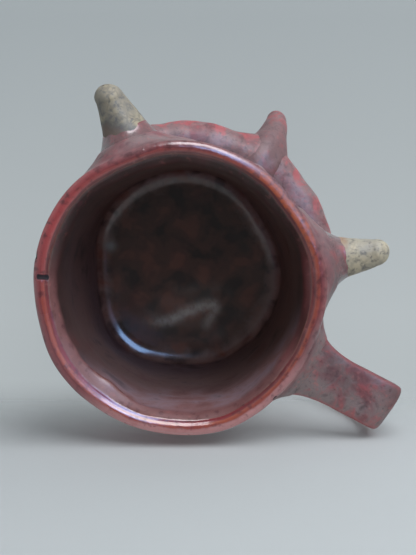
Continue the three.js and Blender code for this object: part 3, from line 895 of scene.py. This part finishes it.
MAUVE_GREY = (134, 121, 122)
MAUVE = (142, 111, 114)
BURGUNDY = (126, 68, 73)
ROSE = (174, 90, 95)
RUDDY_ROSE = (186, 92, 97)
BLUSH = (190, 118, 116)
SALMON = (204, 146, 148)
RUST = (176, 86, 58)
ORANGE = (192, 92, 40)
EDGE_RED = (124, 52, 54)
PLUM = (72, 56, 60)
DUSKY_RED = (84, 56, 60)
IRON = (48, 28, 26)
CLAY = (150, 122, 100)
DARK_CLAY = (118, 92, 74)
# near black for the nicks: dark crack marks and painted shade in their dents
NICK_BLACK_AND_SHADE = (16, 11, 11)
# The lip's tones by the distance along its profile, and the lining's by depth. The lining's tones lighten
# with depth and most at the corner and dish by the floor: painted light against the shade inside the cup.
LIP_TONES = [
    (-6.0, (136, 108, 112)), (-3.4, (130, 92, 97)), (-2.0, (138, 90, 95)), (-0.7, (138, 78, 82)),
    (-0.3, (116, 58, 62)), (0.0, (144, 76, 76)), (1.2, (132, 64, 64)), (1.7, (100, 42, 45)),
    (2.4, (92, 40, 43)), (2.8, (106, 58, 46)), (3.2, (60, 40, 36)), (5.0, (52, 36, 33)), (7.5, (56, 39, 36)),
]
LINING_TONES_AND_LIGHT = [
    (4, (58, 40, 37)), (14, (74, 52, 47)), (30, (108, 82, 76)), (52, (127, 97, 90)), (72, (130, 100, 94)),
    (88, (152, 122, 118)), (93, (152, 122, 118)), (100, (94, 58, 48)),
]
GLAZE_COAT = 0.06
WET_COAT = 0.9


def outer_glaze(shader, dullness=1.0):
    """Mauve and burgundy glaze that breaks rust-red on edges and pools dark in hollows."""
    crown, blush, dusk = shader.attributes("crown blush dusk")
    broad = shader.mottle(30, 2, 0.45, 0.2, 1)
    clouds = shader.mottle(11, 3, 0.5, 0.9, 2)
    streaks = shader.mottle(6, 4, 0.55, 1.2, 4)
    fine = shader.mottle(1.6, 3, 0.55, 0.2, 3)
    ruddy = shader.strayed(shader.times(blush, 0.5), shader.mottle(8, 4, 0.6, 1.0, 5), 2.6)
    broken = shader.strayed(crown, streaks, 0.5)
    layers = [
        (MAUVE, broad, 0.38, 0.62, 1),
        (BURGUNDY, clouds, 0.46, 0.7, 0.85),
        (ROSE, streaks, 0.52, 0.74, 0.6),
        (PLUM, streaks, 0.46, 0.26, 0.65),
        (BLUSH, fine, 0.54, 0.72, 0.45),
        (PLUM, fine, 0.46, 0.28, 0.5),
        (RUDDY_ROSE, ruddy, 0.42, 0.8, 0.75),
        (PLUM, crown, -0.02, -0.14, 0.6),
        (ROSE, broken, 0.1, 0.3, 0.5),
        (EDGE_RED, broken, 0.24, 0.5, 0.6),
    ]
    base = shader.layers(MAUVE_GREY, layers)
    base = shader.lay(base, IRON, shader.specks(2.8, 0.45, 0.4, 0.7), 0.6)
    base = shader.lay(base, DUSKY_RED, dusk, 0.8)
    roughness = shader.ramp(clouds, 0.3, 0.7, 0.44 * dullness, 0.62 * dullness)
    height = shader.math("ADD", shader.times(streaks, 1.6), shader.times(fine, 0.6))
    return base, roughness, height


def red_glaze_material(name, coat, dullness, relief, specular):
    shader = Shader(name)
    base, roughness, height = outer_glaze(shader, dullness)
    shader.finish(base, roughness, coat, 0.2, specular, height, relief)
    return shader.owner


def lip_glaze(shader, wavy, stray, small):
    """The lip's coloured bands, by the wavy distance along its profile."""
    ramp = shader.ramp
    fire, rosy, pale, tan = shader.attributes("fire rosy pale tan")
    wide = shader.mottle(34, 2, 0.45, 0.2, 15)
    fiery = shader.math("ADD", wavy, ramp(fire, 1.2, 1.8, 0, 2.2))
    crest = shader.times(ramp(fiery, -0.2, 0.5), ramp(wavy, 1.7, 1.1))
    glow = shader.lay(RUST, ORANGE, ramp(fire, 1.2, 1.8))
    layers = [
        (glow, fire, 0.3, 1.2, 0.75, crest, ramp(small, 0.36, 0.56, 0.45, 1)),
        # the tan guide lays tan and crimson on the lip's lit side and darker mauve on the other: partly
        # glaze, partly painted light and shade
        ((140, 44, 50), tan, 0.4, 0.8, 0.85, ramp(wavy, 1.3, 1.8), ramp(wavy, 2.9, 2.4)),
        # salmon on the lip where pale: partly glaze, partly painted light on the lit side
        (SALMON, pale, 0.4, 0.85, 0.8, ramp(wavy, 0.4, -0.4)),
        ((88, 60, 67), tan, 0.65, 0.35, 0.6, ramp(wavy, 0.2, -0.9), ramp(small, 0.36, 0.6, 1, 0.35)),
        ((178, 78, 82), wavy, 1.8, 1.2, 0.85, rosy, ramp(small, 0.34, 0.52, 0.5, 1)),
        ((132, 90, 90), tan, 0.25, 0.6, 0.9, ramp(wavy, 2.4, 3.0)),
        ((150, 72, 76), wide, 0.5, 0.66, 0.35),
        (BLUSH, small, 0.56, 0.76, 0.3),
        ((84, 44, 50), small, 0.48, 0.3, 0.65),
        ((150, 58, 60), stray, 0.52, 0.66, 0.4, ramp(wavy, 2.6, 1.8)),
    ]
    return shader.layers(shader.stops(wavy, -7, 8, LIP_TONES), layers)


def lining_glaze(shader, run, small):
    """The dark liner glaze, lightened with depth by painted light, and paler in one stretch under the lip,
    partly thin glaze and partly painted light.
    """
    [pale] = shader.attributes("pale")
    tint = shader.mottle(14, 4, 0.55, 0.4, 13)
    depth = shader.strayed(run, tint, 18)
    shallow = shader.math("SUBTRACT", depth, shader.times(shader.math("SUBTRACT", pale, 1), 30))
    flushed = shader.lay((158, 134, 144), (150, 108, 108), shader.ramp(tint, 0.4, 0.6))
    layers = [
        # flushed tones where pale: partly thin glaze, partly painted light on the lit side
        (flushed, shallow, 52, 8, 1, shader.ramp(pale, 0.1, 0.5)),
        ((98, 52, 48), tint, 0.52, 0.72, 0.6),
        ((44, 32, 30), tint, 0.46, 0.3, 0.6),
        ((50, 38, 36), small, 0.56, 0.76, 0.4),
    ]
    return shader.layers(shader.stops(depth, 0, 110, LINING_TONES_AND_LIGHT), layers)


def cup_material():
    """The outer glaze, the lip's bands, the liner glaze, the floor's marks, painted reflections on the floor
    and dish, and the bare clay of the foot.
    """
    shader = Shader("cup_glazes")
    lay, ramp, mottle, times = shader.lay, shader.ramp, shader.mottle, shader.times
    base, roughness, height = outer_glaze(shader)
    run, band, nick, shine, fleck, streak = shader.attributes("run band nick shine fleck streak")
    stray = mottle(10, 3, 0.5, 0.3, 11)
    small = mottle(2.5, 3, 0.55, 0.3, 12)
    patch = mottle(10, 2, 0.45, 0.3, 16)
    grit = mottle(1.1, 3, 0.6, 0, 14)
    wavy = shader.strayed(shader.strayed(band, stray, 1.8), small, 0.8)
    deep = ramp(run, 80, 96)
    layers = [
        (lip_glaze(shader, wavy, stray, small), wavy, -6, -2.4, 1),
        (lining_glaze(shader, run, small), run, 5, 9, 1),
        ((40, 26, 24), patch, 0.5, 0.34, 0.75, deep),
        ((142, 82, 66), patch, 0.52, 0.66, 0.5, deep),
    ]
    base = shader.layers(base, layers)
    # painted reflection: a pale spot laid on the dish's colour
    base = lay(base, (168, 176, 178), fleck, 0.75)
    # painted reflection: a pale line laid on the floor's colour
    base = lay(base, (206, 206, 204), streak, ramp(small, 0.3, 0.6, 0.45, 0.8))
    # the nicks painted near black: dark crack marks and painted shade in their dents
    base = lay(base, NICK_BLACK_AND_SHADE, ramp(nick, 0.15, 0.6, 0, 0.97))
    clay = lay(CLAY, DARK_CLAY, ramp(grit, 0.35, 0.65))
    clay = lay(clay, IRON, shader.specks(2.0, 0.35, 0.6, 1.9), 0.8)
    line = shader.strayed(shader.height(), stray, 4 * MM)
    outside = ramp(run, 0, -8)
    bare = times(ramp(line, 3.0 * MM, 2.4 * MM), outside)
    base = lay(base, PLUM, ramp(line, 5.5 * MM, 3.0 * MM, 0, 0.7), outside)
    base = lay(base, clay, bare)
    roughness = shader.blend(ramp(run, -5, -1), roughness, ramp(shine, 0, 1, 0.62, 0.14))
    roughness = shader.blend(bare, roughness, 0.85)
    roughness = shader.blend(ramp(nick, 0.05, 0.4), roughness, 0.9)
    broken = shader.math("MAXIMUM", ramp(small, 0.34, 0.52, 0.55, 1), ramp(run, 10, 20))
    coat = times(ramp(shine, 0, 1, GLAZE_COAT, WET_COAT), broken)
    coat = times(coat, ramp(bare, 0, 1, 1, 0), ramp(nick, 0, 0.2, 1, 0))
    height = shader.math("ADD", times(height, ramp(run, -3, 4, 1, 0.25)), times(grit, bare, 1.5))
    shader.finish(base, roughness, coat, 0.15, ramp(run, 80, 96, 0.5, 0.2), height, 0.2)
    return shader.owner


def bone_material(name, light, dark, shadowed):
    """Speckled bone glaze between two tones. Shadowed adds darker specks and crackle and turns the part near
    the root bluish grey, partly a stain and partly painted shade.
    """
    shader = Shader(name)
    crown, reach = shader.attributes("crown reach")
    broad = shader.mottle(9, 3, 0.55, 0.4, 21)
    fine = shader.mottle(1.8, 4, 0.6, 0.5, 22)
    grey = shader.strayed(reach, broad, 0.7)
    scale = 1 / (4 * MM)
    warp = shader.node("TexNoise", {"Vector": shader.place, "Scale": scale})["Color"]
    warp = shader.node("VectorMath", {0: warp, "Scale": 5 * MM}, operation="SCALE")[0]
    cells = {"Vector": shader.vector("ADD", shader.place, warp)[0], "Scale": scale}
    cells = shader.node("TexVoronoi", cells, feature="DISTANCE_TO_EDGE")["Distance"]
    base = shader.layers(dark, [(light, broad, 0.36, 0.64, 1), ((104, 106, 108), fine, 0.52, 0.34, 0.75)])
    base = shader.lay(base, (72, 72, 74), shader.specks(1.9, 0.4, 0.5, 3.1), 0.3 + 0.5 * shadowed)
    layers = [
        ((92, 90, 88), cells, 0.14, 0.0, 0.1 + 0.5 * shadowed, shader.ramp(broad, 0.4, 0.56)),
        ((80, 87, 94), grey, 0.56, 0.34, shadowed),
        ((170, 130, 96), grey, 0.46, 0.32, 0.7 - 0.5 * shadowed),
        ((74, 52, 42), crown, 0.0, -0.12, 0.9),
    ]
    base = shader.layers(base, layers)
    height = shader.math("ADD", shader.times(broad, 1.5), fine)
    roughness = shader.ramp(broad, 0.3, 0.7, 0.58, 0.72)
    shader.finish(base, roughness, 0.03, specular=0.35, height=height, relief=0.16)
    return shader.owner


def stand_on_wall(name, node, loft, sides, glaze, joint, kinds, neighbours=(), ruddy=None, dusk=0.0):
    """A red-glazed piece with marks of some kinds, whose skin swells where it meets the wall and neighbours.
    Ruddy gives the stands over the wall between which its glaze reddens, and dusk how dark the glaze is. The
    handle's strap has tones of its own."""
    points, faces, directions = loft.mesh(sides)
    stand = wall_distance(points)
    swell = joint_swell(stand, joint)
    for neighbour in neighbours:
        swell = np.maximum(swell, joint_swell(neighbour.distance(points), FACE_JOINT))
    swell = swell + marks(points, kinds)
    if node == "handle_strap":
        tones = strap_tones(points)
    else:
        blush = ease(*ruddy, stand) if ruddy else np.zeros(len(points))
        tones = {"blush": blush, "dusk": dusk * (1 - 0.6 * blush)}
    points = seat(points + directions * swell[:, None])
    make_piece(name, points, faces, glaze, (node,), tones)


def build_mug():
    red = red_glaze_material("red_glaze_mottled", 0.05, 1.0, 0.24, 0.3)
    wet_red = red_glaze_material("red_glaze_wet", WET_COAT, 0.5, 0.06, 0.5)
    bones = {
        # The left horn's bone glaze is a darker copy of the right's: painted shade on the horn that gets
        # less light.
        "left": bone_material("bone_glaze_shaded", (176, 168, 142), (140, 137, 126), 0.85),
        "right": bone_material("bone_glaze", (200, 193, 168), (164, 162, 150), 0.15),
    }
    eye_bone = bone_material("bone_glaze_eye", (190, 186, 168), (162, 161, 152), 0.0)
    collars = {label: collar_loft(horn) for label, horn in HORNS.items()}
    brows = {label: brow_loft(side, BROWS[label]) for label, side in SIDES.items()}
    eyes = {label: eye_loft(side) for label, side in SIDES.items()}
    lips = {"upper": lip_loft(1), "lower": lip_loft(-1)}
    nose = nose_loft()
    handle = handle_loft()

    joints = [(handle, HANDLE_JOINT), (nose, NOSE_JOINT)]
    groups = ((collars, COLLAR_JOINT), (brows, BROW_JOINT), (lips, LIP_JOINT), (eyes, EYE_JOINT))
    joints += [(loft, joint) for group, joint in groups for loft in group.values()]
    points, faces, values = cup_mesh(joints)
    nodes = ("cup_wall", "base_disc", "floor_cove_coil")
    make_piece("glazed_cup", points, faces, cup_material(), nodes, values)

    stand_on_wall("glazed_handle", "handle_strap", handle, HANDLE_SIDES, red, HANDLE_JOINT, HANDLE_MARKS)
    stand_on_wall(
        "glazed_nose", "nose", nose, OVAL_SIDES, red, NOSE_JOINT, NOSE_MARKS, brows.values(), (6, 24), 0.5
    )
    for label in SIDES:
        stand_on_wall(
            f"glazed_{label}_collar", f"{label}_horn_collar", collars[label], OVAL_SIDES, wet_red,
            COLLAR_JOINT, COLLAR_MARKS, [brows[label]], (2, 10), 0.6,
        )
        stand_on_wall(
            f"glazed_{label}_brow", f"{label}_brow", brows[label], COIL_SIDES, red,
            BROW_JOINT, BROW_MARKS, [collars[label], nose], (3, 10), BROWS[label]["dusk"],
        )
    for label, loft in lips.items():
        stand_on_wall(f"glazed_{label}_lip", f"{label}_lip", loft, COIL_SIDES, red, LIP_JOINT, LIP_MARKS)
    for label in SIDES:
        horn = horn_loft(HORNS[label])
        points, faces, directions = horn.mesh(OVAL_SIDES)
        points = seat(points + directions * marks(points, HORN_MARKS)[:, None])
        reach = np.concatenate([np.linspace(0, 1, len(horn.centres)).repeat(OVAL_SIDES), [0, 1]])
        # reach is lower on the side that from_picture(-1, 0, 0) points to, so that side greys sooner:
        # painted shade on the side turned from the light
        values = {"reach": reach - 0.12 * directions @ np.array(from_picture(-1, 0, 0))}
        nodes = (f"{label}_horn",)
        make_piece(f"bone_{label}_horn", points, faces, bones[label], nodes, values)
    for label, eye in eyes.items():
        points, faces, _ = eye.mesh(COIL_SIDES)
        values = {"reach": np.ones(len(points))}
        nodes = (f"{label}_eye",)
        make_piece(f"bone_{label}_eye", seat(points), faces, eye_bone, nodes, values)


# The camera and what it sees
def from_picture(right, up, nearer):
    """A direction of the picture, in the frame's axes."""
    return PICTURE_TURN @ Vector((right, up, nearer))


def before_camera(pixel, depth):
    """The point that a pixel shows at a depth, in the camera's own axes."""
    right = (pixel[0] - PICTURE_WIDTH / 2) / FOCAL_PIXELS
    up = (PICTURE_HEIGHT / 2 - pixel[1]) / FOCAL_PIXELS
    return Vector((right, up, -1)) * depth


def build_camera():
    z = -before_camera(VANISHING_POINT, 1).normalized()
    x = (Vector((1, 0, 0)) - z * z.x).normalized()
    to_frame = PICTURE_TURN @ Matrix((x, z.cross(x), z))
    depth = FOCAL_PIXELS * RIM_RADIUS * MM / RIM_PIXEL_RADIUS
    place = Vector((0, 0, HEIGHT * MM)) - to_frame @ before_camera(RIM_PIXEL, depth)
    data = bpy.data.cameras.new("camera")
    data.lens = FOCAL_PIXELS / PICTURE_HEIGHT * SENSOR
    data.sensor_width = SENSOR
    data.clip_start = 0.01
    camera = add_object("camera", data)
    camera.matrix_world = Matrix.Translation(place) @ to_frame.to_4x4()
    bpy.context.scene.camera = camera


def build_lights():
    for name, direction, distance, size, power, tint, diffuse, glossy in LIGHTS:
        data = bpy.data.lights.new(name, "AREA")
        data.shape = "RECTANGLE"
        data.size, data.size_y = size
        data.energy = power
        data.color = tint
        direction = from_picture(*direction)
        light = add_object(name, data)
        light.location = Vector((0, 0, HEIGHT * MM / 2)) + direction.normalized() * distance
        light.rotation_euler = direction.to_track_quat("Z", "Y").to_euler()
        light.visible_diffuse = diffuse
        light.visible_glossy = glossy


def plane(name, corners, material):
    mesh = bpy.data.meshes.new(name)
    mesh.from_pydata([tuple(corner) for corner in corners], [], [(0, 1, 2, 3)])
    mesh.materials.append(material)
    made = add_object(name, mesh)
    return made


def seen_rays(shader):
    """1 for rays that show a thing, straight, mirrored or through glass, and 0 for those that light it."""
    path = shader.node("LightPath")
    seen = shader.math("MAXIMUM", path["Is Camera Ray"], path["Is Glossy Ray"])
    return shader.math("MAXIMUM", seen, path["Is Transmission Ray"])


def fading_pale(name, tint, fade, is_panel):
    """A matt pale surface that fades out with the distance from the mug. A panel shows from its front alone
    and comes in above its foot; the floor glows with a share of painted light, darker higher in the picture,
    for what is seen."""
    shader = Shader(name)
    matt = shader.finish(tint, 0.9, specular=0.0)
    gone = shader.ramp(shader.vector("LENGTH", shader.place)["Value"], *fade)
    if is_panel:
        gone = shader.math("MAXIMUM", gone, shader.node("NewGeometry")["Backfacing"])
        gone = shader.math("MAXIMUM", gone, shader.ramp(shader.height(), *TABLE_RISE, 1, 0))
    else:
        # the floor's painted glow, darker higher in the picture
        up = shader.vector("DOT_PRODUCT", shader.place, from_picture(0, 1, 0))["Value"]
        painted_glow = shader.stops(up, -0.1, 0.2, [(-0.02, PALE_NEAR), (0.108, PALE_FAR)])
        own = shader.node("Emission", {"Color": painted_glow})[0]
        share = shader.times(seen_rays(shader), FLOOR_GLOW)
        matt = shader.node("MixShader", {0: share, 1: matt, 2: own})[0]
    clear = shader.node("BsdfTransparent")[0]
    mixed = shader.node("MixShader", {0: gone, 1: matt, 2: clear})[0]
    shader.feed(shader.tree.nodes["Material Output"].inputs["Surface"], mixed)
    return shader.owner


def build_stage():
    half = FLOOR_HALF
    corners = [(x, y, FLOOR_LEVEL) for x, y in ((-half, -half), (half, -half), (half, half), (-half, half))]
    plane("floor", corners, fading_pale("pale_floor", PALE_FLOOR, FLOOR_FADE, False))
    right = from_picture(1, 0, 0) * TABLE_HALF_WIDTH
    foot = from_picture(0, -TABLE_DROP * MM, 0)
    top = foot + Vector((0, 0, TABLE_REACH))
    corners = [foot - right, top - right, top + right, foot + right]
    table = plane("table_panel", corners, fading_pale("pale_table", PALE_TABLE, TABLE_FADE, True))
    table.visible_diffuse = False
    table.visible_shadow = False
    table.visible_transmission = False

    sky = Shader("studio", bpy.data.worlds, "Generated")
    bpy.context.scene.world = sky.owner
    sky.tree.nodes.remove(sky.tree.nodes["Background"])
    glows = []
    for tone, low, start, end in WORLD_GLOWS:
        strength = sky.ramp(sky.height(), low, WORLD_DIMMED, start, end, "LINEAR")
        glows.append(sky.node("Background", {"Color": tone, "Strength": strength})[0])
    mixed = sky.node("MixShader", {0: seen_rays(sky), 1: glows[0], 2: glows[1]})[0]
    sky.feed(sky.tree.nodes["World Output"].inputs["Surface"], mixed)


build_camera()
build_mug()
build_lights()
build_stage()
bpy.context.scene.view_settings.view_transform = "Standard"
